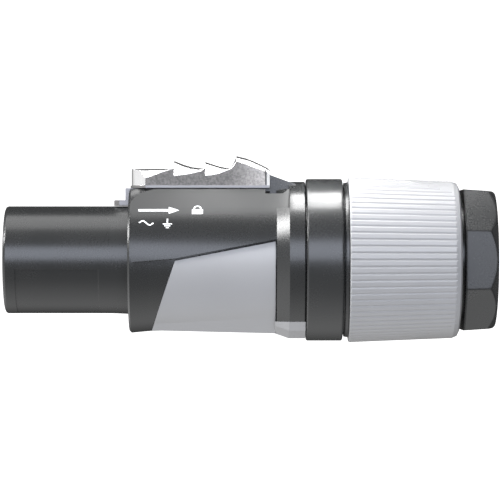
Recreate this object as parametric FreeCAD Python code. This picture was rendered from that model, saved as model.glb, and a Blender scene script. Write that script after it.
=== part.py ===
import FreeCAD, Part
import math
import os

os.makedirs("parts", exist_ok=True)

# Driving dimensions in millimetres. The origin is midway along the mating barrel, on its axis.
# X runs to the cable end and Z up to the latch. Lengths below are taken from the collar's front face.
seat_x = 12.8
barrel_len = 22.8
barrel_r = 9.85
root_r = 10.02
root_len = 3.2
collar_r = 13.43
shell_r = 13.4
roof_z = 12.95
rear_roof_z = 12.1
cover_front_r = 13.1
cover_rear_r = 12.6
cone_x = 26.95
cover_end = 26.75
edge_gap = 0.15
ring_x = 29.3
ring_end = 32.2
ring_r = 14.37
bore_r = 8.3
body_bore_r = 9.3
thread_root_r = 11.7
thread_land_r = 12.2
sleeve_end = 48.0
latch_half = 5.6
latch_travel = 3.0
stem_half = 2.4
flange_z = 13.1
flange_thick = 0.5
crest = 0.38
nut_front = 32.36
nut_ring_r = 14.88
nut_bore_r = 12.35
core_r = 13.2
grip_front = 40.15
grip_front_r = 15.18
grip_land_end = 59.2
grip_rear_r = 14.42
grip_end = 60.35
neck_r = 10.8
octagon_front = 61.05
rear_end = 67.0
cable_r = 7.2
groove_count = 75
groove_depth = 0.15
groove_half = 0.3
finger_count = 8


def at(x, y, z):
    return FreeCAD.Vector(seat_x + x, y, z)


# A closed face from corner points; a point marked "via" makes an arc through it.
def face_of(points):
    edges = []
    total = len(points)
    start = points[0][0]
    i = 0
    while i < total:
        nxt, kind = points[(i + 1) % total]
        if kind == "via":
            end = points[(i + 2) % total][0]
            edges.append(Part.Arc(start, nxt, end).toShape())
            i += 2
        else:
            end = nxt
            edges.append(Part.LineSegment(start, end).toShape())
            i += 1
        start = end
    return Part.Face(Part.Wire(edges))


def marked(point):
    if len(point) > 2:
        return "via"
    return "to"


# A turned solid from (x, radius) points.
def turned(points, start_deg=0.0, sweep_deg=360.0):
    face = face_of([(at(p[0], 0, p[1]), marked(p)) for p in points])
    face.rotate(FreeCAD.Vector(0, 0, 0), FreeCAD.Vector(1, 0, 0), start_deg)
    return face.revolve(FreeCAD.Vector(0, 0, 0), FreeCAD.Vector(1, 0, 0), sweep_deg)


# A side outline of (x, z) points drawn across from y0 to y1.
def slab(points, y0, y1):
    face = face_of([(at(p[0], y0, p[1]), marked(p)) for p in points])
    return face.extrude(FreeCAD.Vector(0, y1 - y0, 0))


# A cross-section of (y, z) points drawn along the connector.
def prism(points, x0, x1):
    face = face_of([(at(x0, p[0], p[1]), marked(p)) for p in points])
    return face.extrude(FreeCAD.Vector(x1 - x0, 0, 0))


def box(x0, x1, half, z0, z1):
    return Part.makeBox(x1 - x0, 2 * half, z1 - z0, at(x0, -half, z0))


def rod(x0, x1, radius, y=0.0, z=0.0):
    return Part.makeCylinder(radius, x1 - x0, at(x0, y, z), FreeCAD.Vector(1, 0, 0))


# A ruled body through sections, each an x and a list of (y, z) points.
def ruled(sections):
    wires = []
    for x, points in sections:
        wires.append(face_of([(at(x, p[0], p[1]), marked(p)) for p in points]).OuterWire)
    return Part.makeLoft(wires, True, True)


def turn(shape, deg):
    copy = shape.copy()
    copy.rotate(FreeCAD.Vector(0, 0, 0), FreeCAD.Vector(1, 0, 0), deg)
    return copy


def mirrored_points(points):
    return points + [(-p[0],) + tuple(p[1:]) for p in reversed(points)]


def save(name, shape):
    solids = shape.Solids
    if len(solids) == 1:
        shape = solids[0]
    else:
        shape = Part.makeCompound(solids)
    shape.exportStep("parts/" + name + ".step")
    print(name, len(solids), "solid", round(shape.Volume, 1), "mm3", shape.isValid())


# Lower skin: the turned collar, narrowing to the rear
lower_skin = turned([
    (0, 0), (0, collar_r - 0.35), (0.35, collar_r),
    (3.9, cover_front_r), (cone_x, cover_rear_r), (cone_x, 0)])

# Keel under the body, growing out of the round skin to the rear
keel_front = [(8.26, -9.0), (8.26, -9.7), (4.46, -12.9)]
keel_rear = [(7.33, -9.57), (7.33, -10.27), (3.53, -13.47)]
keel = ruled([(4.2, mirrored_points(keel_front)), (cone_x, mirrored_points(keel_rear))])

# Keel block: its front is bevelled up to the flared ring
block_low = [(8.2, -9.3), (8.2, -10.3), (6.3, -11.95), (2.9, -13.45)]
block_full = [(8.9, -10.22), (8.9, -11.22), (7.0, -12.87), (3.6, -14.37)]
keel_block = ruled([
    (26.5, mirrored_points(block_low)),
    (29.2, mirrored_points(block_full)),
    (ring_end, mirrored_points(block_full))])

# Upper shell: a round body with a roof that rises to a flat for the latch
roof_half = shell_r * math.sqrt(2) - roof_z
tangent = shell_r / math.sqrt(2)
roof_section = [
    (-roof_half, roof_z), (roof_half, roof_z), (tangent, tangent), (0, 0), (-tangent, tangent)]
shell = rod(0, cone_x, shell_r).fuse(prism(roof_section, 0, ring_x))
shell = shell.cut(box(-1, 40, 20, roof_z, 30))
shell = shell.cut(box(24.9, 40, 20, rear_roof_z, 30))
nose_blend = turned([
    (0, 0), (0, collar_r - 0.35), (0.35, collar_r),
    (2.0, 13.88), (4.2, 14.2), (7.2, 14.4), (ring_x, 14.9), (ring_x, 0)])
shell = shell.common(nose_blend)
shell = shell.common(slab([(-0.1, -0.5), (8.6, 0.2), (29.4, 4.25), (29.4, 20), (-0.1, 20)], -20, 20))

# Flared ring and the threaded sleeve behind it, left at the root of its thread
ring = turned([
    (25.8, 0), (25.8, 11.7), (cone_x, 12.6), (cone_x, shell_r), (ring_x, ring_r),
    (ring_end - 0.2, ring_r), (ring_end, ring_r - 0.2), (ring_end, thread_land_r),
    (33.4, thread_land_r), (33.8, thread_root_r),
    (sleeve_end - 0.6, thread_root_r), (sleeve_end, thread_root_r - 0.6), (sleeve_end, 0)])

# Mating barrel, thickening slightly at its root
barrel = turned([
    (-barrel_len, 0), (-barrel_len, barrel_r - 0.5), (-barrel_len + 0.15, barrel_r - 0.15),
    (-barrel_len + 0.5, barrel_r), (-root_len, barrel_r), (1, root_r), (1, 0)])

housing = barrel.fuse([lower_skin, shell, ring])
housing = housing.cut(box(-1, 24.9, 20, roof_z, 30))
housing = housing.cut(box(24.0, 29.2, 6.3, roof_z - 0.05, 30))

# The roof's slopes run on through the flare, up to the ring's front face
slope_cut = [(tangent, tangent), (roof_half, roof_z), (roof_half + 8, roof_z), (roof_half + 8, tangent)]
slope_cut = prism(slope_cut, cone_x, ring_x)
housing = housing.cut([slope_cut, slope_cut.mirror(FreeCAD.Vector(0, 0, 0), FreeCAD.Vector(0, 1, 0))])

# Ramp block behind the latch, with two low guide strips in front of it
ramp_side = [(25.67, 11.5), (25.67, 15.55), (29.15, 14.3), (30.5, 13.8), (30.5, 11.5)]
housing = housing.fuse(slab(ramp_side, -4.4, 4.4))
for y in (-4.4, 2.8):
    housing = housing.fuse(Part.makeBox(5.6, 1.6, 1.0, at(20.2, y, 12.5)))

# Bores for the insert, the terminals and the chuck
housing = housing.cut(rod(-barrel_len - 1, 3, bore_r))
housing = housing.cut(rod(2.0, sleeve_end + 1, body_bore_r))
mouth = [(-barrel_len - 0.1, bore_r), (-barrel_len - 0.1, bore_r + 0.5), (-barrel_len + 0.4, bore_r)]
housing = housing.cut(turned(mouth))

# Guide slots for the chuck's ribs
rib_slot = Part.makeBox(11, 2.0, 3.0, at(37.5, -1.0, 7.5))
housing = housing.cut([turn(rib_slot, d) for d in (60, 180, 300)])

# Shallow panel on the barrel, left bare
panel = turned([(-20.5, 9.73), (-5.4, 9.73), (-5.4, 10.4), (-20.5, 10.4)], 100.0, 82.0)
housing = housing.cut(panel)

# Latch channel in the roof, open through the collar for the tongue
housing = housing.cut(box(-1.0, 22.0, stem_half + 0.2, 10.0, 20))
housing = housing.cut(box(-root_len, 3.5, stem_half + 0.2, barrel_r, 20))

# Room for the cover: the wedge under the sloping edge, and the notch under the ring
def cover_slab(end, gap):
    rise = 0.193 * (end - 8.6)
    return slab([(8.6, -gap), (end, rise - gap), (end, -20), (1.74, -20)], -20, 20)


cover_ring = cover_slab(cone_x, 0).cut(rod(0, 40, 11.5))
notch = box(cone_x - 0.3, ring_end, 9.1, -20, -11.2)
cover_skin = lower_skin.fuse(keel).common(cover_slab(cover_end, edge_gap)).cut(rod(0, 40, 11.5))
cover = cover_skin.fuse(keel_block.common(box(cover_end - 0.1, ring_end, 12, -20, -11.2)))
cover = cover.cut(rod(0, 40, 11.2)).removeSplitter()
housing = housing.cut(cover_ring).cut(notch)
save("front_housing", housing.removeSplitter())
save("underside_cover", cover)


# Locking latch: fish-scale teeth, each a bevelled arch in front that runs down to a line behind
def arch(side, crown):
    rise = crown - side - min(crest, 0.5 * (crown - side))
    right = [(latch_half, 13.5), (latch_half, side), (latch_half - 0.7 * rise, side + rise)]
    left = [(-p[0], p[1]) for p in reversed(right)]
    return right + [(0, crown, "via")] + left


tooth_rows = [
    [(0.0, 14.8, 16.7), (3.5, 15.05, 16.72), (6.0, 16.0, 16.72), (8.2, 16.6, 16.72)],
    [(8.2, 15.3, 18.18), (9.9, 15.5, 17.5), (11.4, 15.75, 17.05), (12.9, 16.1, 16.85),
     (13.9, 16.65, 16.8)],
    [(13.9, 15.35, 18.0), (15.1, 15.47, 17.6), (16.5, 15.75, 17.15), (17.6, 16.2, 16.93),
     (18.6, 16.6, 16.85)],
    [(18.6, 16.6, 16.85), (19.1, 17.1, 17.8), (19.65, 17.95, 19.08), (21.4, 17.4, 18.65),
     (22.8, 16.85, 18.1), (24.2, 16.35, 17.45), (25.3, 15.95, 16.9), (25.7, 15.7, 16.45)]]
latch = None
for row in tooth_rows:
    tooth = ruled([(x, arch(side, crown)) for x, side, crown in row])
    latch = tooth if latch is None else latch.fuse(tooth)
nose = face_of([
    (at(3.0, latch_half, 13), "to"), (at(0.3, 0, 13), "via"), (at(3.0, -latch_half, 13), "to"),
    (at(26, -latch_half, 13), "to"), (at(26, latch_half, 13), "to")]).extrude(FreeCAD.Vector(0, 0, 8))
latch = latch.common(nose)
flange = face_of([
    (at(3.0, 5.9, flange_z), "to"), (at(0.1, 0, flange_z), "via"), (at(3.0, -5.9, flange_z), "to"),
    (at(25.7, -5.9, flange_z), "to"), (at(25.7, 5.9, flange_z), "to")])
flange = flange.extrude(FreeCAD.Vector(0, 0, flange_thick))
stem = box(3.2, 12.0, stem_half, 10.1, 14.0).fuse(box(-0.75, 3.4, stem_half, 10.1, 13.15))
tongue = face_of([
    (at(-2.85, -1.5, 9.95), "to"), (at(-1.9, -stem_half, 9.95), "to"), (at(0, -stem_half, 9.95), "to"),
    (at(0, stem_half, 9.95), "to"), (at(-1.9, stem_half, 9.95), "to"), (at(-2.85, 1.5, 9.95), "to")])
tongue = tongue.extrude(FreeCAD.Vector(0, 0, 1.0))
latch = latch.fuse([flange, stem, tongue])
latch = latch.cut(box(17.0, 27.0, 4.7, 13.0, 15.72))
latch = latch.fuse(box(11.0, 22.4, stem_half, roof_z + 0.1, 13.7))
for y in (-latch_half, latch_half):
    latch = latch.cut(Part.makeBox(0.2, 0.4, 4.0, at(24.85, y - 0.2, 13.75)))
save("locking_latch", latch.removeSplitter())

# Return spring, at its coil's outer and inner size
spring = rod(12.0, 22.0, 1.3, 0, 11.5).cut(rod(11.0, 23.0, 0.85, 0, 11.5))
save("latch_spring", spring)

# Contact insert with three arc slots and open pockets for the clamps
insert = turned([
    (-21.3, 0), (-21.3, 7.9), (-21.0, 8.2), (2.0, 8.2), (2.0, 9.15), (4.5, 9.15), (4.5, 8.9),
    (13.2, 8.9), (13.2, 0)])
slot = turned([(-21.4, 3.95), (6.0, 3.95), (6.0, 6.05), (-21.4, 6.05)], -30, 60)
pocket = Part.makeBox(8.3, 5.3, 7.0, at(5.0, -2.65, 2.4))
key_way = Part.makeBox(9.0, 1.6, 2.0, at(-21.4, -0.8, 7.3))
angles = {"line": 120, "neutral": 240, "earth": 0}
insert = insert.cut([turn(slot, d) for d in angles.values()])
insert = insert.cut([turn(pocket, d) for d in angles.values()])
insert = insert.cut([turn(key_way, d) for d in (60, 180)])
save("contact_insert", insert.removeSplitter())

# Cover behind the clamps, with a hole for each wire
terminal_cover = rod(13.3, 16.2, 8.9)
wire_hole = rod(13.0, 17.0, 2.2, 0, 5.0)
terminal_cover = terminal_cover.cut([turn(wire_hole, d) for d in angles.values()])
terminal_cover = terminal_cover.cut(rod(13, 17, 1.6))
save("terminal_cover", terminal_cover)

# Contacts, clamps and clamp screws, one set a pole
leaf_out = turned([(-19.6, 5.4), (-6.0, 5.4), (-6.0, 5.85), (-19.6, 5.85)], -28, 26)
leaf_in = turned([(-19.6, 4.15), (-6.0, 4.15), (-6.0, 4.6), (-19.6, 4.6)], -28, 26)
root = turned([(-7.0, 4.15), (-5.0, 4.15), (-5.0, 5.85), (-7.0, 5.85)], -28, 40)
tail = turned([(-5.5, 4.6), (11.0, 4.6), (11.0, 5.4), (-5.5, 5.4)], -11, 22)
contact = leaf_out.fuse([leaf_in, root, tail]).removeSplitter()
clamp = Part.makeBox(7.6, 5.0, 5.0, at(5.5, -2.5, 2.5)).cut(rod(5.0, 14.0, 1.9, 0, 5.0))
clamp = clamp.cut(Part.makeCylinder(1.3, 3.0, at(9.3, 0, 5.0), FreeCAD.Vector(0, 0, 1)))
screw = Part.makeCylinder(1.25, 3.2, at(9.3, 0, 5.5), FreeCAD.Vector(0, 0, 1))
screw = screw.cut(Part.makeBox(4.0, 0.5, 0.8, at(7.3, -0.25, 8.0)))
for pole, deg in angles.items():
    save(pole + "_contact", turn(contact, deg))
    save(pole + "_clamp", turn(clamp, deg))
save("clamp_screws", Part.makeCompound([turn(screw, d) for d in angles.values()]))

# Cable chuck: a ring with guide ribs, and slotted fingers that the nut's cone closes on the cable
chuck = turned([
    (40.0, 6.9), (40.0, 9.05), (50.0, 9.05), (60.4, 7.95), (60.7, 7.6),
    (60.7, 6.5), (45.0, 6.5), (44.0, 6.9)])
rib = Part.makeBox(4.0, 1.6, 2.2, at(40.0, -0.8, 8.0))
chuck = chuck.fuse([turn(rib, d) for d in (60, 180, 300)])
finger_slot = Part.makeBox(16.0, 1.1, 6.0, at(45.6, -0.55, 5.0))
chuck = chuck.cut([turn(finger_slot, 360.0 * k / finger_count) for k in range(finger_count)])
save("cable_chuck", chuck.removeSplitter())

# Gland nut: front ring, core under the grip, and the eight-sided end with a turned chamfer
nut = turned([
    (nut_front, 0), (nut_front, nut_ring_r - 0.2), (nut_front + 0.2, nut_ring_r), (38.8, nut_ring_r),
    (39.0, nut_ring_r - 0.2), (39.0, 13.8), (39.3, 13.8), (39.3, 14.15), (grip_front, 14.3),
    (grip_front, core_r), (grip_end - 0.3, core_r), (grip_end - 0.3, neck_r),
    (octagon_front + 0.5, neck_r), (octagon_front + 0.5, 0)])


def octagon(apothem):
    reach = apothem / math.cos(math.pi / 8)
    turns = [math.radians(45 * k + 22.5) for k in range(8)]
    return [(reach * math.cos(a), reach * math.sin(a)) for a in turns]


octagon_end = ruled([(octagon_front, octagon(12.89)), (rear_end, octagon(12.5))])
chamfer = turned([
    (octagon_front, 0), (octagon_front, 14.1), (65.4, 13.75), (rear_end, 12.3), (rear_end, 0)])
nut = nut.fuse(octagon_end.common(chamfer))
nut_inside = turned([
    (32.0, 0), (32.0, nut_bore_r), (49.5, nut_bore_r), (49.5, 9.4), (61.1, 8.25), (61.1, cable_r),
    (66.0, cable_r), (rear_end + 0.1, cable_r + 1.1), (rear_end + 0.1, 0)])
nut = nut.cut(nut_inside)
save("gland_nut", nut.removeSplitter())

# Grip sleeve: fine grooves round a tapered sleeve, running out early over the top and the bottom
grip = turned([
    (grip_front, core_r), (grip_front, grip_front_r - 0.18), (grip_front + 0.2, grip_front_r),
    (grip_land_end, grip_rear_r), (grip_end - 0.3, 14.05), (grip_end, 13.4), (grip_end, core_r)])
taper = (grip_front_r - grip_rear_r) / (grip_land_end - grip_front - 0.2)


# One groove: a wedge that keeps its depth along the taper
def groove_wedge(x):
    low = grip_front_r - taper * (x - grip_front - 0.2) - groove_depth
    high = low + 2.0 * groove_depth
    return [(0.0, low), (2.0 * groove_half, high), (-2.0 * groove_half, high)]


def groove(end):
    start = grip_front - 0.2
    return ruled([(start, groove_wedge(start)), (end, groove_wedge(end))])


grooves = []
for k in range(groove_count):
    deg = 90.0 + 360.0 * k / groove_count
    off_vertical = min(deg % 180.0, 180.0 - deg % 180.0)
    end = 60.5
    if off_vertical < 34.0:
        end = 49.5 + 10.0 * (off_vertical / 34.0) ** 1.6
    grooves.append(turn(groove(end), deg))
save("grip_sleeve", grip.cut(grooves))
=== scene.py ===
# %% [markdown]
# A twist-lock power connector: a round plug for the end of a cable. The barrel on the left
# goes into a socket, the metal slide on top locks it there, and the ribbed nut on the right
# closes a chuck on the cable. The solids are already built and packed. Here they get their
# finishes, their light and the small shapes that are easier to make in Blender.

# %% Load the frame
import bpy
import bmesh
import math
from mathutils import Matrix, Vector


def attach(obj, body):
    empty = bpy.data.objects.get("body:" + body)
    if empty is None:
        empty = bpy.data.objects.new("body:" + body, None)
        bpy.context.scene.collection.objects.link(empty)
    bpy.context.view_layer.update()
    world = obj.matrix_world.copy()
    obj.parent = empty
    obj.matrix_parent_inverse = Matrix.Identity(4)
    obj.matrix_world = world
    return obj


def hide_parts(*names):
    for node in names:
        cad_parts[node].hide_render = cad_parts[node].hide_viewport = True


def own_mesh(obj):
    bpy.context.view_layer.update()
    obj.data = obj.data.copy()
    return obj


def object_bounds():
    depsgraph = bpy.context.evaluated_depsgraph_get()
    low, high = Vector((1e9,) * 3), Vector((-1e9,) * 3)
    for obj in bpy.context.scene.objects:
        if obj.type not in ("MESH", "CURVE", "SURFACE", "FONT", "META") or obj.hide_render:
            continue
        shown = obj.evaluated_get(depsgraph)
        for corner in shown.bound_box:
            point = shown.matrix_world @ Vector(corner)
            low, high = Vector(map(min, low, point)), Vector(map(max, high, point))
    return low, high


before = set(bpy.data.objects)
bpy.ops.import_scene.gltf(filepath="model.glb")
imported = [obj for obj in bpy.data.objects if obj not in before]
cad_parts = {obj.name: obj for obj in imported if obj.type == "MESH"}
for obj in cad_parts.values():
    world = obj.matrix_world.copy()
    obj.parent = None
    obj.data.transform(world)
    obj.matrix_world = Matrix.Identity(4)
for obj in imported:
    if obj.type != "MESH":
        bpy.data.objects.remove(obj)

cad_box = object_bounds()
MM = 0.001
print("solids span", [round(b - a, 4) for a, b in zip(*cad_box)])

# %% [markdown]
# The camera stands level with the connector and square to its side, far enough off that the
# round parts hardly bulge. One could guess a lens and move the camera until it fits. Here the
# distance comes from how much wider the near side looks, and the lens from the frame's width.
# In millimetres, places along the connector are counted from the collar's front, at SEAT.

# %% Camera
SEAT = 12.8
EYE_DISTANCE = 552.0
EYE_ALONG = SEAT + 22.1
EYE_HEIGHT = 1.8
FRAME_WIDTH = 92.1
SENSOR = 36.0

eye = bpy.data.cameras.new("eye")
eye.sensor_width = SENSOR
eye.lens = SENSOR * EYE_DISTANCE / FRAME_WIDTH
eye_obj = bpy.data.objects.new("eye", eye)
eye_obj.location = (EYE_ALONG * MM, -EYE_DISTANCE * MM, EYE_HEIGHT * MM)
eye_obj.rotation_euler = (math.pi / 2, 0, 0)
bpy.context.scene.collection.objects.link(eye_obj)
bpy.context.scene.camera = eye_obj
print("lens", round(eye.lens, 1), "mm")

# %% [markdown]
# A shader is a small sum. Wiring each node by hand makes long scripts, so one class wraps a
# socket and lets plain Python signs add the Math nodes. Every other kind of node comes from
# one method that sets the node up first and then fills its sockets.


# %% Sums on sockets
class Wire:
    def __init__(self, tree, socket):
        self.tree = tree
        self.socket = socket

    def plug(self, value, socket):
        if isinstance(value, Wire):
            self.tree.links.new(value.socket, socket)
        else:
            socket.default_value = value

    def node(self, kind, settings=None, sockets=None, out=0):
        made = self.tree.nodes.new(kind)
        for name, value in (settings or {}).items():
            if name == "stops":
                ramp = made.color_ramp
                while len(ramp.elements) < len(value):
                    ramp.elements.new(0.5)
                for stop, (place, grey) in zip(ramp.elements, value):
                    stop.position = place
                    stop.color = (grey, grey, grey, 1)
            else:
                setattr(made, name, value)
        for name, value in (sockets or {}).items():
            self.plug(value, made.inputs[name])
        return Wire(self.tree, made.outputs[out])

    def sum(self, operation, first, second=0.0):
        return self.node("ShaderNodeMath", {"operation": operation}, {0: first, 1: second})

    def __add__(self, other):
        return self.sum("ADD", self, other)

    def __radd__(self, other):
        return self.sum("ADD", other, self)

    def __sub__(self, other):
        return self.sum("SUBTRACT", self, other)

    def __rsub__(self, other):
        return self.sum("SUBTRACT", other, self)

    def __mul__(self, other):
        return self.sum("MULTIPLY", self, other)

    def __rmul__(self, other):
        return self.sum("MULTIPLY", other, self)

    def part(self, axis):
        return self.node("ShaderNodeSeparateXYZ", None, {"Vector": self}, out="XYZ".index(axis))

    def smooth(self, low, high):
        return self.node("ShaderNodeMapRange", {"interpolation_type": "SMOOTHSTEP"},
                         {"Value": self, "From Min": low, "From Max": high})

    def blend(self, first, second):
        return self.node("ShaderNodeMix", {"data_type": "RGBA"},
                         {"Factor": self, 6: first, 7: second}, out=2)


print("wires know +, - and *")

# %% [markdown]
# Every finish starts alike: a new material, its shader and the place on the piece. Patterns
# could be painted or unwrapped. Noise on Object coordinates needs neither, and it stays put
# when a piece turns or slides. No moulding or casting has knife edges, and rounding them all in
# the mesh would cost many faces, so a Bevel node bends the shading normal next to each edge.


# %% Start of a finish
BEVEL_RAYS = 6
SHARP = 0.01


def start_finish(name):
    finish = bpy.data.materials.new(name)
    finish.use_nodes = True
    tree = finish.node_tree
    place = Wire(tree, tree.nodes.new("ShaderNodeTexCoord").outputs["Object"])
    return finish, tree.nodes["Principled BSDF"], place


def facing(place):
    return place.node("ShaderNodeTexCoord", out="Normal")


def noise(place, size_mm, detail=2.0, stretch=None):
    where = place
    if stretch:
        where = place.node("ShaderNodeMapping", None, {"Vector": place, "Scale": stretch})
    return place.node("ShaderNodeTexNoise", None,
                      {"Vector": where, "Scale": 1.0 / (size_mm * MM), "Detail": detail})


def soft_edge(place, radius_mm):
    return place.node("ShaderNodeBevel", {"samples": BEVEL_RAYS}, {"Radius": radius_mm * MM})


print("edges are softened with", BEVEL_RAYS, "rays")

# %% [markdown]
# Moulded plastic is never one flat colour. Its skin copies the mould's spark-eroded texture, a
# grain of about a tenth of a millimetre, and handling leaves it a little shinier in places. Two
# places differ. The roof on both sides of the latch is eroded coarser, so it is duller than the
# turned parts. On the nut, a painted near-black line where the flats meet stands in for the shade
# that those rounded edges mirror, and the line is duller too. A second material could be given to
# those faces, but a mask keeps each moulding in one piece: how far a face tilts finds the roof,
# and how far a wide bevel bends the normal finds the meeting edges.


# %% Moulded plastic
CLOUD_SIZE, SPECK_SIZE, GRAIN_SIZE = 9.0, 0.35, 0.1
ROOF_FRONT, ROOF_REAR = SEAT + 0.2, SEAT + 29.8
ROOF_DULLER = 0.18
# painted shade: the near-black colour and extra dullness laid where the nut's flats meet
EDGE_SHADE_COLOUR = (0.002, 0.002, 0.002, 1)
EDGE_SHADE_DULLER = 0.6
NUT_EDGE = 0.5
FLATS_START = SEAT + 58.2


def roof_mask(place):
    tilt = facing(place).part("Z")
    along = place.part("X")
    sloping = tilt.smooth(0.60, 0.69) * (1.0 - tilt.smooth(0.715, 0.74))
    past_front = along.smooth(ROOF_FRONT * MM, (ROOF_FRONT + 0.3) * MM)
    past_rear = along.smooth((ROOF_REAR - 0.4) * MM, ROOF_REAR * MM)
    return sloping * past_front * (1.0 - past_rear)


# painted shade mask: finds the edges where the nut's flats meet
def painted_edge_shade_mask(place):
    bent = place.node("ShaderNodeVectorMath", {"operation": "DISTANCE"},
                      {0: soft_edge(place, NUT_EDGE), 1: soft_edge(place, SHARP)}, out="Value")
    on_flats = place.part("X").smooth((FLATS_START - 0.1) * MM, FLATS_START * MM)
    return bent.smooth(0.03, 0.12) * on_flats


def moulded(name, dull, bright, rough, edge_mm=0.12, duller=None, shade_edges=None):
    finish, shader, place = start_finish(name)
    cloud = noise(place, CLOUD_SIZE).smooth(0.3, 0.7)
    speck = noise(place, SPECK_SIZE, 3.0)
    colour = (cloud * 0.5 + speck * 0.5).blend(dull, bright)
    dullness = rough - 0.02 + cloud * 0.015 + speck * 0.025
    if duller:
        dullness = dullness + duller(place) * ROOF_DULLER
    # painted shade along the nut's edges, which is made duller too
    if shade_edges:
        edge_shade = shade_edges(place)
        colour = edge_shade.blend(colour, EDGE_SHADE_COLOUR)
        dullness = dullness + edge_shade * EDGE_SHADE_DULLER
    bump = place.node("ShaderNodeBump", None, {
        "Strength": 0.03, "Distance": 0.02 * MM, "Height": noise(place, GRAIN_SIZE),
        "Normal": soft_edge(place, edge_mm)})
    place.plug(colour, shader.inputs["Base Color"])
    place.plug(dullness, shader.inputs["Roughness"])
    place.plug(bump, shader.inputs["Normal"])
    print(name, "roughness near", rough)
    return finish


dark_plastic = moulded("dark_plastic", (0.0123, 0.0129, 0.0131, 1), (0.0146, 0.0152, 0.0153, 1),
                       0.27, duller=roof_mask)
nut_plastic = moulded("nut_plastic", (0.0164, 0.0172, 0.0174, 1), (0.0194, 0.0202, 0.0204, 1),
                      0.27, edge_mm=NUT_EDGE, shade_edges=painted_edge_shade_mask)
light_plastic = moulded("light_plastic", (0.280, 0.280, 0.285, 1), (0.295, 0.295, 0.301, 1), 0.40)
insert_plastic = moulded("insert_plastic", (0.012, 0.012, 0.013, 1), (0.018, 0.018, 0.019, 1), 0.42)
chuck_plastic = moulded("chuck_plastic", (0.62, 0.60, 0.54, 1), (0.68, 0.66, 0.60, 1), 0.4)

# %% [markdown]
# The latch is cast, then tumbled and polished where a thumb runs over it. Its flanks keep the
# cast skin, a fine grey speckle that grows paler towards the rear and ends in a painted dark line
# and a painted bright strip, the shade and the highlight of a rounded rear edge. The scales are
# bright and the flange below is satin. The way a face turns and how high it lies tell the three
# apart, so masks are made from the normal and the height instead of painting each face. A painted
# dark line runs along each crest, for the shade the crest mirrors where it is seen edge-on. There a
# wide bevel lifts the normal and a narrow one doesn't, so the difference of the two is the mask.


# %% Cast and polished metal
FLANGE_TOP = 13.62
CREST_FOOT, CREST_TOP = 16.1, 16.4
PALER_FROM, PALER_TO = SEAT + 17.0, SEAT + 26.0
# where the painted dark line lies, the shade of a rounded rear edge
GROOVE_SHADE_FROM, GROOVE_SHADE_TO = SEAT + 24.80, SEAT + 24.92
# where the painted bright strip lies, the highlight on that rounded edge
BEVEL_HIGHLIGHT_FROM, BEVEL_HIGHLIGHT_TO = SEAT + 25.12, SEAT + 25.22
SATIN_GREY = (0.188, 0.184, 0.186, 1)
# painted shade: the dark grey laid along each crest of the scales
CREST_SHADE_GREY = (0.09, 0.09, 0.09, 1)


def flank_skin_and_painted_edge(place, speck):
    along = place.part("X")
    # the skin grows paler towards the rear
    rearward = along.smooth(PALER_FROM * MM, PALER_TO * MM)
    grey = rearward.blend((0.104, 0.10, 0.095, 1), (0.245, 0.233, 0.220, 1))
    pale_grey = rearward.blend((0.172, 0.164, 0.155, 1), (0.386, 0.367, 0.347, 1))
    # painted shade: a dark line just before the rear edge
    groove_shade = along.smooth(GROOVE_SHADE_FROM * MM, GROOVE_SHADE_TO * MM)
    # painted highlight: a bright strip along the rear edge
    bevel_highlight = along.smooth(BEVEL_HIGHLIGHT_FROM * MM, BEVEL_HIGHLIGHT_TO * MM)
    skin = speck.smooth(0.3, 0.7).blend(grey, pale_grey)
    skin = groove_shade.blend(skin, (0.10, 0.10, 0.10, 1))
    return bevel_highlight.blend(skin, (0.43, 0.42, 0.40, 1))


# painted shade mask: the top of each crest, where it mirrors dark when seen edge-on
def painted_crest_shade_mask(place, turned, upright):
    lift = soft_edge(place, 0.45).part("Z") - soft_edge(place, SHARP).part("Z")
    high_up = place.part("Z").smooth(CREST_FOOT * MM, CREST_TOP * MM)
    not_front = turned.part("X").smooth(-0.6, -0.4)
    return lift.smooth(0.02, 0.06) * (1.0 - upright) * high_up * not_front


def cast_metal(name):
    finish, shader, place = start_finish(name)
    turned = facing(place)
    upright = turned.sum("ABSOLUTE", turned.part("Y")).smooth(0.94, 0.985)
    above = place.part("Z").smooth((FLANGE_TOP - 0.03) * MM, FLANGE_TOP * MM)
    flank = upright * above
    satin = 1.0 - above
    speck = noise(place, 0.36, 3.0)
    bright = noise(place, 1.5).blend((0.74, 0.74, 0.75, 1), (0.80, 0.80, 0.80, 1))
    colour = flank.blend(satin.blend(bright, SATIN_GREY), flank_skin_and_painted_edge(place, speck))
    # painted shade along the crests
    colour = painted_crest_shade_mask(place, turned, upright).blend(colour, CREST_SHADE_GREY)
    bump = place.node("ShaderNodeBump", None, {
        "Strength": flank * 0.3 + 0.02, "Distance": 0.03 * MM, "Height": speck,
        "Normal": soft_edge(place, 0.12)})
    place.plug(colour, shader.inputs["Base Color"])
    place.plug(0.16 + flank * 0.34 + satin * 0.2 + speck * 0.06, shader.inputs["Roughness"])
    place.plug(bump, shader.inputs["Normal"])
    shader.inputs["Metallic"].default_value = 1.0
    print(name, "has", len(finish.node_tree.nodes), "nodes")
    return finish


latch_metal = cast_metal("latch_metal")

# %% [markdown]
# The contacts, clamps, screws and coil are cut from rolled strip and drawn wire, and rolling
# leaves fine lines along the metal. The same noise, stretched along one axis, makes them.


# %% Drawn metal
def drawn_metal(name, colour, rough, stretch):
    finish, shader, place = start_finish(name)
    lines = noise(place, 0.4, 3.0, stretch)
    pale = tuple(min(1.0, c * 1.12) for c in colour[:3]) + (1,)
    place.plug(lines.blend(colour, pale), shader.inputs["Base Color"])
    place.plug(rough - 0.06 + lines * 0.12, shader.inputs["Roughness"])
    place.plug(soft_edge(place, 0.06), shader.inputs["Normal"])
    shader.inputs["Metallic"].default_value = 1.0
    print(name, "roughness near", rough)
    return finish


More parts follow.
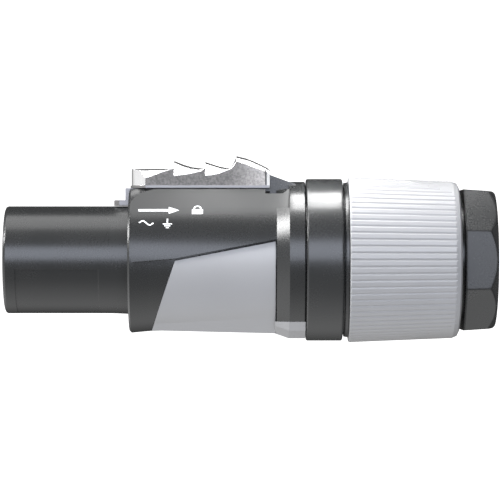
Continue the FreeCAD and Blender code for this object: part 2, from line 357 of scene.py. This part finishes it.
contact_metal = drawn_metal("contact_metal", (0.78, 0.77, 0.73, 1), 0.25, (0.1, 1, 1))
clamp_brass = drawn_metal("clamp_brass", (0.70, 0.52, 0.24, 1), 0.32, (0.15, 1, 1))
screw_steel = drawn_metal("screw_steel", (0.60, 0.60, 0.62, 1), 0.3, (1, 1, 0.2))
spring_steel = drawn_metal("spring_steel", (0.52, 0.52, 0.53, 1), 0.28, (1, 1, 1))

# %% [markdown]
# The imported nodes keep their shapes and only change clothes: each node's material slots are
# filled with the finish of what it is made of.

# %% Dress the nodes
FINISH_OF = {
    "front_housing": dark_plastic, "gland_nut": nut_plastic,
    "underside_cover": light_plastic, "grip_sleeve": light_plastic,
    "locking_latch": latch_metal, "latch_spring": spring_steel,
    "contact_insert": insert_plastic, "terminal_cover": insert_plastic,
    "line_contact": contact_metal, "neutral_contact": contact_metal,
    "earth_contact": contact_metal, "line_clamp": clamp_brass, "neutral_clamp": clamp_brass,
    "earth_clamp": clamp_brass, "clamp_screws": screw_steel, "cable_chuck": chuck_plastic}
for name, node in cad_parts.items():
    node.data.materials.clear()
    node.data.materials.append(FINISH_OF[name])
print("dressed", len(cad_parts), "nodes")

# %% [markdown]
# Two parts of this object are a wire wound along the axis: the coil that returns the latch, and
# the thread that the nut runs on. A screw modifier could make each, but one small Geometry Nodes
# tree with named sizes makes both: a spiral, stretched to its height, with a round wire for the
# coil and a six-sided one for the thread. A third part, the gripping ridges inside the chuck,
# repeats round the axis, so the helper that builds a tree is shared.


# %% Tree helper
def start_tree(name, sockets):
    tree = bpy.data.node_groups.new(name, "GeometryNodeTree")
    for label, kind in sockets:
        tree.interface.new_socket(label, in_out="INPUT", socket_type="NodeSocket" + kind)
    tree.interface.new_socket("Geometry", in_out="OUTPUT", socket_type="NodeSocketGeometry")
    given = tree.nodes.new("NodeGroupInput").outputs

    def add(kind, sockets=None, settings=None):
        made = tree.nodes.new(kind)
        for label, value in (settings or {}).items():
            setattr(made, label, value)
        for label, source in (sockets or {}).items():
            if isinstance(source, bpy.types.NodeSocket):
                tree.links.new(source, made.inputs[label])
            else:
                made.inputs[label].default_value = source
        return made.outputs[0]

    def finish(geometry):
        real = add("GeometryNodeRealizeInstances", {"Geometry": geometry})
        painted = add("GeometryNodeSetMaterial", {"Geometry": real, "Material": given["Finish"]})
        result = tree.nodes.new("NodeGroupOutput")
        tree.links.new(painted, result.inputs["Geometry"])
        return tree

    return given, add, finish


def made_plain(name, tree, sizes):
    holder = bpy.data.objects.new(name + "_maker", bpy.data.meshes.new(name + "_maker"))
    bpy.context.scene.collection.objects.link(holder)
    modifier = holder.modifiers.new("make", "NODES")
    modifier.node_group = tree
    for item in tree.interface.items_tree:
        if item.item_type == "SOCKET" and item.in_out == "INPUT":
            modifier[item.identifier] = sizes[item.name]
    seen = holder.evaluated_get(bpy.context.evaluated_depsgraph_get())
    mesh = bpy.data.meshes.new_from_object(seen)
    bpy.data.objects.remove(holder)
    mesh.name = name
    piece = bpy.data.objects.new(name, mesh)
    bpy.context.scene.collection.objects.link(piece)
    print(name, len(mesh.polygons), "faces")
    return piece


# %% [markdown]
# The coil stands for the plain tube that the solids have in its place. It is fixed to the housing
# at its rear end; the real coil shortens when the latch is pulled, but this one keeps its length.


# %% Return coil
QUARTER_TURN = (0, math.pi / 2, 0)
COIL_Z = 11.5 * MM


def wound_tree():
    given, add, finish = start_tree("wound_wire", [
        ("Mean Radius", "Float"), ("Length", "Float"), ("Turns", "Float"), ("Steps", "Int"),
        ("Wire Radius", "Float"), ("Wire Sides", "Int"), ("Start", "Vector"),
        ("Finish", "Material")])
    spiral = add("GeometryNodeCurveSpiral", {
        "Resolution": given["Steps"], "Rotations": given["Turns"], "Height": given["Length"],
        "Start Radius": given["Mean Radius"], "End Radius": given["Mean Radius"]})
    section = add("GeometryNodeCurvePrimitiveCircle", {
        "Resolution": given["Wire Sides"], "Radius": given["Wire Radius"]})
    swept = add("GeometryNodeCurveToMesh", {
        "Curve": spiral, "Profile Curve": section, "Fill Caps": True})
    laid = add("GeometryNodeTransform", {
        "Geometry": swept, "Translation": given["Start"], "Rotation": QUARTER_TURN})
    return finish(laid)


WOUND = wound_tree()
coil = made_plain("return_coil", WOUND, {
    "Mean Radius": 1.08 * MM, "Length": 9.6 * MM, "Turns": 8.0, "Steps": 26,
    "Wire Radius": 0.2 * MM, "Wire Sides": 10, "Start": ((SEAT + 12.2) * MM, 0.0, COIL_Z),
    "Finish": spring_steel})
coil.data.shade_smooth()
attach(coil, "housing")
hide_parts("latch_spring")
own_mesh(coil)

# %% [markdown]
# The thread stands on the plain sleeve of the solid. It hides under the nut until the nut is
# unscrewed. Its pitch is the same 2.5 mm that the nut advances in one turn.

# %% Sleeve thread
PITCH = 2.5
THREAD_TURNS = 5
thread = made_plain("sleeve_thread", WOUND, {
    "Mean Radius": 11.72 * MM, "Length": PITCH * THREAD_TURNS * MM, "Turns": float(THREAD_TURNS),
    "Steps": 72, "Wire Radius": 0.45 * MM, "Wire Sides": 6,
    "Start": ((SEAT + 34.4) * MM, 0.0, 0.0), "Finish": dark_plastic})
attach(thread, "housing")

# %% [markdown]
# The chuck's fingers bite the cable's jacket with rows of sharp ridges. Each ridge is an arc as
# wide as its finger with a three-sided section. One arc is made, set on a line of points along
# the finger, and that row is set round the axis, one for each finger.


# %% Chuck ridges
def ridge_tree():
    given, add, finish = start_tree("grip_ridges", [
        ("Radius", "Float"), ("Sweep", "Float"), ("Start Angle", "Float"), ("Height", "Float"),
        ("Rows", "Int"), ("First Row", "Vector"), ("Row Step", "Vector"), ("Fingers", "Int"),
        ("Finish", "Material")])
    arc = add("GeometryNodeCurveArc", {
        "Resolution": 9, "Radius": given["Radius"], "Start Angle": given["Start Angle"],
        "Sweep Angle": given["Sweep"]}, {"mode": "RADIUS"})
    section = add("GeometryNodeCurvePrimitiveCircle", {
        "Resolution": 3, "Radius": given["Height"]})
    ridge = add("GeometryNodeCurveToMesh", {
        "Curve": arc, "Profile Curve": section, "Fill Caps": True})
    upright = add("GeometryNodeTransform", {"Geometry": ridge, "Rotation": QUARTER_TURN})
    row = add("GeometryNodeMeshLine", {
        "Count": given["Rows"], "Start Location": given["First Row"], "Offset": given["Row Step"]})
    finger = add("GeometryNodeInstanceOnPoints", {"Points": row, "Instance": upright})
    spots = add("GeometryNodeMeshLine", {
        "Count": given["Fingers"], "Start Location": (0, 0, 0), "Offset": (0, 0, 0)})
    order = add("GeometryNodeInputIndex")
    share = add("ShaderNodeMath", {0: order, 1: given["Fingers"]}, {"operation": "DIVIDE"})
    lean = add("ShaderNodeMath", {0: share, 1: 2 * math.pi}, {"operation": "MULTIPLY"})
    about_axis = add("ShaderNodeCombineXYZ", {"X": lean})
    crown = add("GeometryNodeInstanceOnPoints", {
        "Points": spots, "Instance": finger, "Rotation": about_axis})
    return finish(crown)


FINGERS = 8
FINGER_GAP = 12.0
ridges = made_plain("chuck_ridges", ridge_tree(), {
    "Radius": 6.5 * MM, "Sweep": math.radians(360.0 / FINGERS - FINGER_GAP),
    "Start Angle": math.radians(FINGER_GAP / 2), "Height": 0.3 * MM, "Rows": 6,
    "First Row": ((SEAT + 53.0) * MM, 0.0, 0.0), "Row Step": (1.3 * MM, 0.0, 0.0),
    "Fingers": FINGERS, "Finish": chuck_plastic})
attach(ridges, "chuck")

# %% [markdown]
# The side carries a white print, a plain row of signs: an arrow that shows which way the latch is
# pulled, a padlock, the sign for alternating current and the earth sign. A picture could be laid
# on the skin, but flat shapes stay sharp at any size. They are drawn as if the skin were unrolled,
# with x along the body and s up round it, in millimetres.


# %% Signs
def bar(x0, x1, s0, s1):
    return [(x0, s0), (x1, s0), (x1, s1), (x0, s1)]


def band(points, wide):
    strips = []
    for (x0, s0), (x1, s1) in zip(points, points[1:]):
        along = Vector((x1 - x0, s1 - s0)).normalized() * wide / 2
        strips.append([(x0 + along.y, s0 - along.x), (x1 + along.y, s1 - along.x),
                       (x1 - along.y, s1 + along.x), (x0 - along.y, s0 + along.x)])
    return strips


UPPER, LOWER = 9.85, 7.0
arrow = [bar(1.9, 7.4, UPPER - 0.28, UPPER + 0.28),
         [(7.4, UPPER - 0.85), (9.3, UPPER), (7.4, UPPER + 0.85)]]

SHACKLE_LEFT, SHACKLE_R = 12.0, 0.6
half_turn = [math.pi * k / 10 for k in range(11)]
shackle = [(SHACKLE_LEFT, UPPER + 0.2)]
shackle += [(SHACKLE_LEFT + SHACKLE_R * (1 - math.cos(a)), UPPER + 0.45 + SHACKLE_R * math.sin(a))
            for a in half_turn]
shackle += [(SHACKLE_LEFT + 2 * SHACKLE_R, UPPER + 0.2)]
padlock = [bar(11.6, 13.6, UPPER - 0.9, UPPER + 0.25)] + band(shackle, 0.28)

wave = band([(2.1 + 0.16 * k, LOWER + 0.42 * math.sin(2 * math.pi * k / 16))
             for k in range(17)], 0.26)

EARTH_X = 7.2
earth = [bar(EARTH_X - 0.13, EARTH_X + 0.13, LOWER - 0.1, LOWER + 0.9)]
for reach, drop in ((0.85, 0.1), (0.55, 0.48), (0.25, 0.86)):
    earth.append(bar(EARTH_X - reach, EARTH_X + reach, LOWER - drop - 0.22, LOWER - drop))

signs = arrow + padlock + wave + earth
print("signs made of", len(signs), "outlines")

# %% [markdown]
# Ink lies on the skin like a film. A shrinkwrap could press the shapes on, but the skin is simple
# enough to work out: a cylinder up to 45 degrees and the flat of the roof above it. The shapes are
# cut into strips so that they can bend, and each corner is rolled to its place, a hair above the
# plastic so that the two don't fight. Noise leaves the ink a little thin in spots.

# %% Side print
INK_HEIGHT = 0.012
SKIN = 13.4 + INK_HEIGHT
BEND = SKIN * math.pi / 4
CUTS, FIRST_CUT, CUT_STEP = 60, 5.0, 0.12


def rolled(x, s):
    if s < BEND:
        lift = s / SKIN
        return Vector((SEAT + x, -SKIN * math.cos(lift), SKIN * math.sin(lift))) * MM
    past = (s - BEND) / math.sqrt(2)
    edge = SKIN / math.sqrt(2)
    return Vector((SEAT + x, past - edge, edge + past)) * MM


flat = bmesh.new()
for outline in signs:
    flat.faces.new([flat.verts.new((x, s, 0)) for x, s in outline])
for k in range(CUTS):
    everything = flat.verts[:] + flat.edges[:] + flat.faces[:]
    bmesh.ops.bisect_plane(flat, geom=everything, plane_co=(0, FIRST_CUT + CUT_STEP * k, 0),
                           plane_no=(0, 1, 0))
for corner in flat.verts:
    corner.co = rolled(corner.co.x, corner.co.y)
print_mesh = bpy.data.meshes.new("side_print")
flat.to_mesh(print_mesh)
flat.free()

white_ink, ink_shader, ink_place = start_finish("white_ink")
wear = noise(ink_place, 0.25, 3.0).smooth(0.2, 0.6)
ink_place.plug(wear.blend((0.66, 0.66, 0.66, 1), (0.80, 0.80, 0.80, 1)),
               ink_shader.inputs["Base Color"])
ink_shader.inputs["Roughness"].default_value = 0.5
print_mesh.materials.append(white_ink)
side_print = bpy.data.objects.new("side_print", print_mesh)
bpy.context.scene.collection.objects.link(side_print)
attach(side_print, "housing")
print("print has", len(print_mesh.polygons), "faces")

# %% [markdown]
# The floor is pale card. It glows a little, less near the middle, where shadows fall, so that it
# fades into white all round. Its back is see-through, so that the connector can be looked at from
# below as well.

# %% Pale card
pale, pale_shader, pale_place = start_finish("pale_floor")
pale_place.plug(noise(pale_place, 60.0).blend((0.90, 0.90, 0.90, 1), (0.92, 0.92, 0.92, 1)),
                pale_shader.inputs["Base Color"])
out_x = pale_place.part("X")
out_y = pale_place.part("Y")
far_out = (out_x * out_x + out_y * out_y).smooth(0.02, 0.5)
pale_place.plug(far_out.blend((0.55, 0.55, 0.55, 1), (1, 1, 1, 1)),
                pale_shader.inputs["Emission Color"])
pale_shader.inputs["Roughness"].default_value = 0.8
pale_shader.inputs["Specular IOR Level"].default_value = 0.1
pale_shader.inputs["Emission Strength"].default_value = 1.0
from_below = pale_place.node("ShaderNodeNewGeometry", out="Backfacing")
through = pale_place.node("ShaderNodeBsdfTransparent")
shown = pale_place.node("ShaderNodeMixShader", None, {
    0: from_below, 1: Wire(pale.node_tree, pale_shader.outputs[0]), 2: through})
pale_place.plug(shown, pale.node_tree.nodes["Material Output"].inputs["Surface"])
print("card has", len(pale.node_tree.nodes), "nodes")

# %% [markdown]
# The card is a wide bowl: a flat floor that bends up into a wall all round. A plain sheet with one
# bent edge would do for one view, but it would hide the connector from behind. A bright wall would
# mirror along every rim of the dark plastic and wash the outline out, so the bowl is shown to the
# camera only, and what the plastic mirrors is the lamps and the graded room made further down.

# %% Floor and wall
FLOOR_DROP = 60.0 * MM
FLOOR_Z = cad_box[0][2] - FLOOR_DROP
BEND_R = 0.8
FLAT_R = 1.4
WALL_TOP = 3.0
BEND_STEPS = 12
SIDES = 48

profile = [(FLAT_R * 0.5, 0.0)]
for k in range(BEND_STEPS + 1):
    lean = math.pi / 2 * k / BEND_STEPS
    profile.append((FLAT_R + BEND_R * math.sin(lean), BEND_R - BEND_R * math.cos(lean)))
profile.append((FLAT_R + BEND_R, WALL_TOP))

bowl = bmesh.new()
turns = [2 * math.pi * k / SIDES for k in range(SIDES)]
rings = []
for r, z in profile:
    rings.append([bowl.verts.new((r * math.cos(a), r * math.sin(a), FLOOR_Z + z)) for a in turns])
bowl.faces.new(rings[0])
for low, high in zip(rings, rings[1:]):
    for k in range(SIDES):
        after = (k + 1) % SIDES
        bowl.faces.new((low[k], high[k], high[after], low[after]))
floor_mesh = bpy.data.meshes.new("pale_floor")
bowl.to_mesh(floor_mesh)
bowl.free()
floor_mesh.shade_smooth()
floor_mesh.materials.append(pale)
floor_obj = bpy.data.objects.new("pale_floor", floor_mesh)
floor_obj.visible_glossy = False
floor_obj.visible_diffuse = False
floor_obj.visible_shadow = False
bpy.context.scene.collection.objects.link(floor_obj)
print("floor at", round(FLOOR_Z, 4))

# %% [markdown]
# Round dark plastic shows little but what it mirrors. A side that turns up by some angle mirrors
# what stands twice as high, so the stripes tell where the light is. A wide soft box hangs overhead
# and a cool one stands in front, just above the eye. A lamp far off leaves a soft stripe, and one
# close by a short stripe with firm ends, so the roof, the ring, the nut, the eight-sided end, the
# collar's corner and the grip each have a small lamp above them. Faces that turn left or right,
# such as the flare, the collar's front and the latch's scales, mirror boxes out to the sides. The
# last box stands behind. It lights the pale plastic's far side and leaves no mirror image.

# %% Lights
WHITE = (1, 1, 1)
COOL = (0.81, 0.865, 1.0)
MIDDLE = (35 * MM, 0, 0)
FLARE = (0.04, 0, 0)
DOWN = None


def soft_light(name, watts, colour, size, place, target):
    lamp = bpy.data.lights.new(name, "AREA")
    lamp.shape = "RECTANGLE"
    lamp.size, lamp.size_y = size
    lamp.energy = watts
    lamp.color = colour
    lamp_obj = bpy.data.objects.new(name, lamp)
    lamp_obj.location = place
    aim = Vector(target or (place[0], place[1], 0)) - Vector(place)
    lamp_obj.rotation_euler = aim.to_track_quat("-Z", "Y").to_euler()
    lamp_obj.visible_camera = False
    bpy.context.scene.collection.objects.link(lamp_obj)
    return lamp_obj


LAMPS = [
    ("overhead", 0.943, WHITE, (0.33, 0.30), (-0.094, -0.01, 0.42), DOWN),
    ("roof_light", 0.0056, WHITE, (0.014, 0.018), (0.028, -0.005, 0.048), DOWN),
    ("ring_light", 0.00108, WHITE, (0.0029, 0.0071), (0.04385, -0.00925, 0.0175), DOWN),
    ("nut_light", 0.0017, WHITE, (0.0061, 0.00655), (0.04865, -0.00995, 0.0175), DOWN),
    ("end_light", 0.0005, WHITE, (0.012, 0.0116), (0.0785, -0.0018, 0.026), DOWN),
    ("front_fill", 3.72, COOL, (0.7, 0.31), (0.035, -0.62, 0.152), MIDDLE),
    ("flare_light", 4.7, WHITE, (0.14, 0.28), (-0.337, -0.228, 0.42), FLARE),
    ("flare_side", 0.16, WHITE, (0.10, 0.12), (-0.225, -0.05, 0.42), FLARE),
    ("edge_light", 0.8, WHITE, (0.10, 0.10), (-0.45, 0.075, 0.18), (0.02, 0, 0)),
    ("scale_light", 0.24, WHITE, (0.22, 0.12), (0.20, -0.118, 0.40), (0.035, -0.005, 0.017)),
    ("corner_light", 0.0001, WHITE, (0.0035, 0.0035), (0.0115, 0.0002, 0.019),
     (0.0139, -0.006, 0.0123)),
    ("grip_light", 0.034, WHITE, (0.022, 0.03), (0.064, 0.002, 0.075), DOWN),
    ("back_fill", 2.3, WHITE, (0.4, 0.1), (0.035, 0.6, 0.0), MIDDLE)]
lamps = {row[0]: soft_light(*row) for row in LAMPS}
lamps["back_fill"].visible_glossy = False
print("hung", len(lamps), "lamps")

# %% [markdown]
# The dim room itself is the World's colour, worked out from the direction one looks in: a ramp
# over the height for the glow from below, darker behind except low down, and paler to the left.
# The view transform is the plain one, so that white card comes out white.

# %% Room
GLOW = [(0.00, 0.98), (0.14, 0.48), (0.34, 0.27), (0.55, 0.24), (1.0, 0.24)]
DARK_BEHIND = (0.06, 0.06, 0.06, 1)

world = bpy.data.worlds.new("room")
world.use_nodes = True
sky = world.node_tree
toward = Wire(sky, sky.nodes.new("ShaderNodeTexCoord").outputs["Generated"])
height = toward.part("Z")
glow = height.node("ShaderNodeValToRGB", {"stops": GLOW}, {"Fac": height * 0.5 + 0.5})
behind = toward.part("Y").smooth(0.0, 0.7) * height.smooth(-1.05, -0.3)
glow = behind.blend(glow, DARK_BEHIND)
left = (toward.part("X") * -1.0).smooth(0.25, 0.8)
left_glow = toward.sum("MAXIMUM", 0.8 - height * 1.4, 0.3)
left_grey = toward.node("ShaderNodeCombineXYZ", None, {0: left_glow, 1: left_glow, 2: left_glow})
glow.plug(left.blend(glow, left_grey), sky.nodes["Background"].inputs["Color"])
sky.nodes["Background"].inputs["Strength"].default_value = 1.4
bpy.context.scene.world = world
bpy.context.scene.view_settings.view_transform = "Standard"
print("room set with", len(sky.nodes), "nodes")
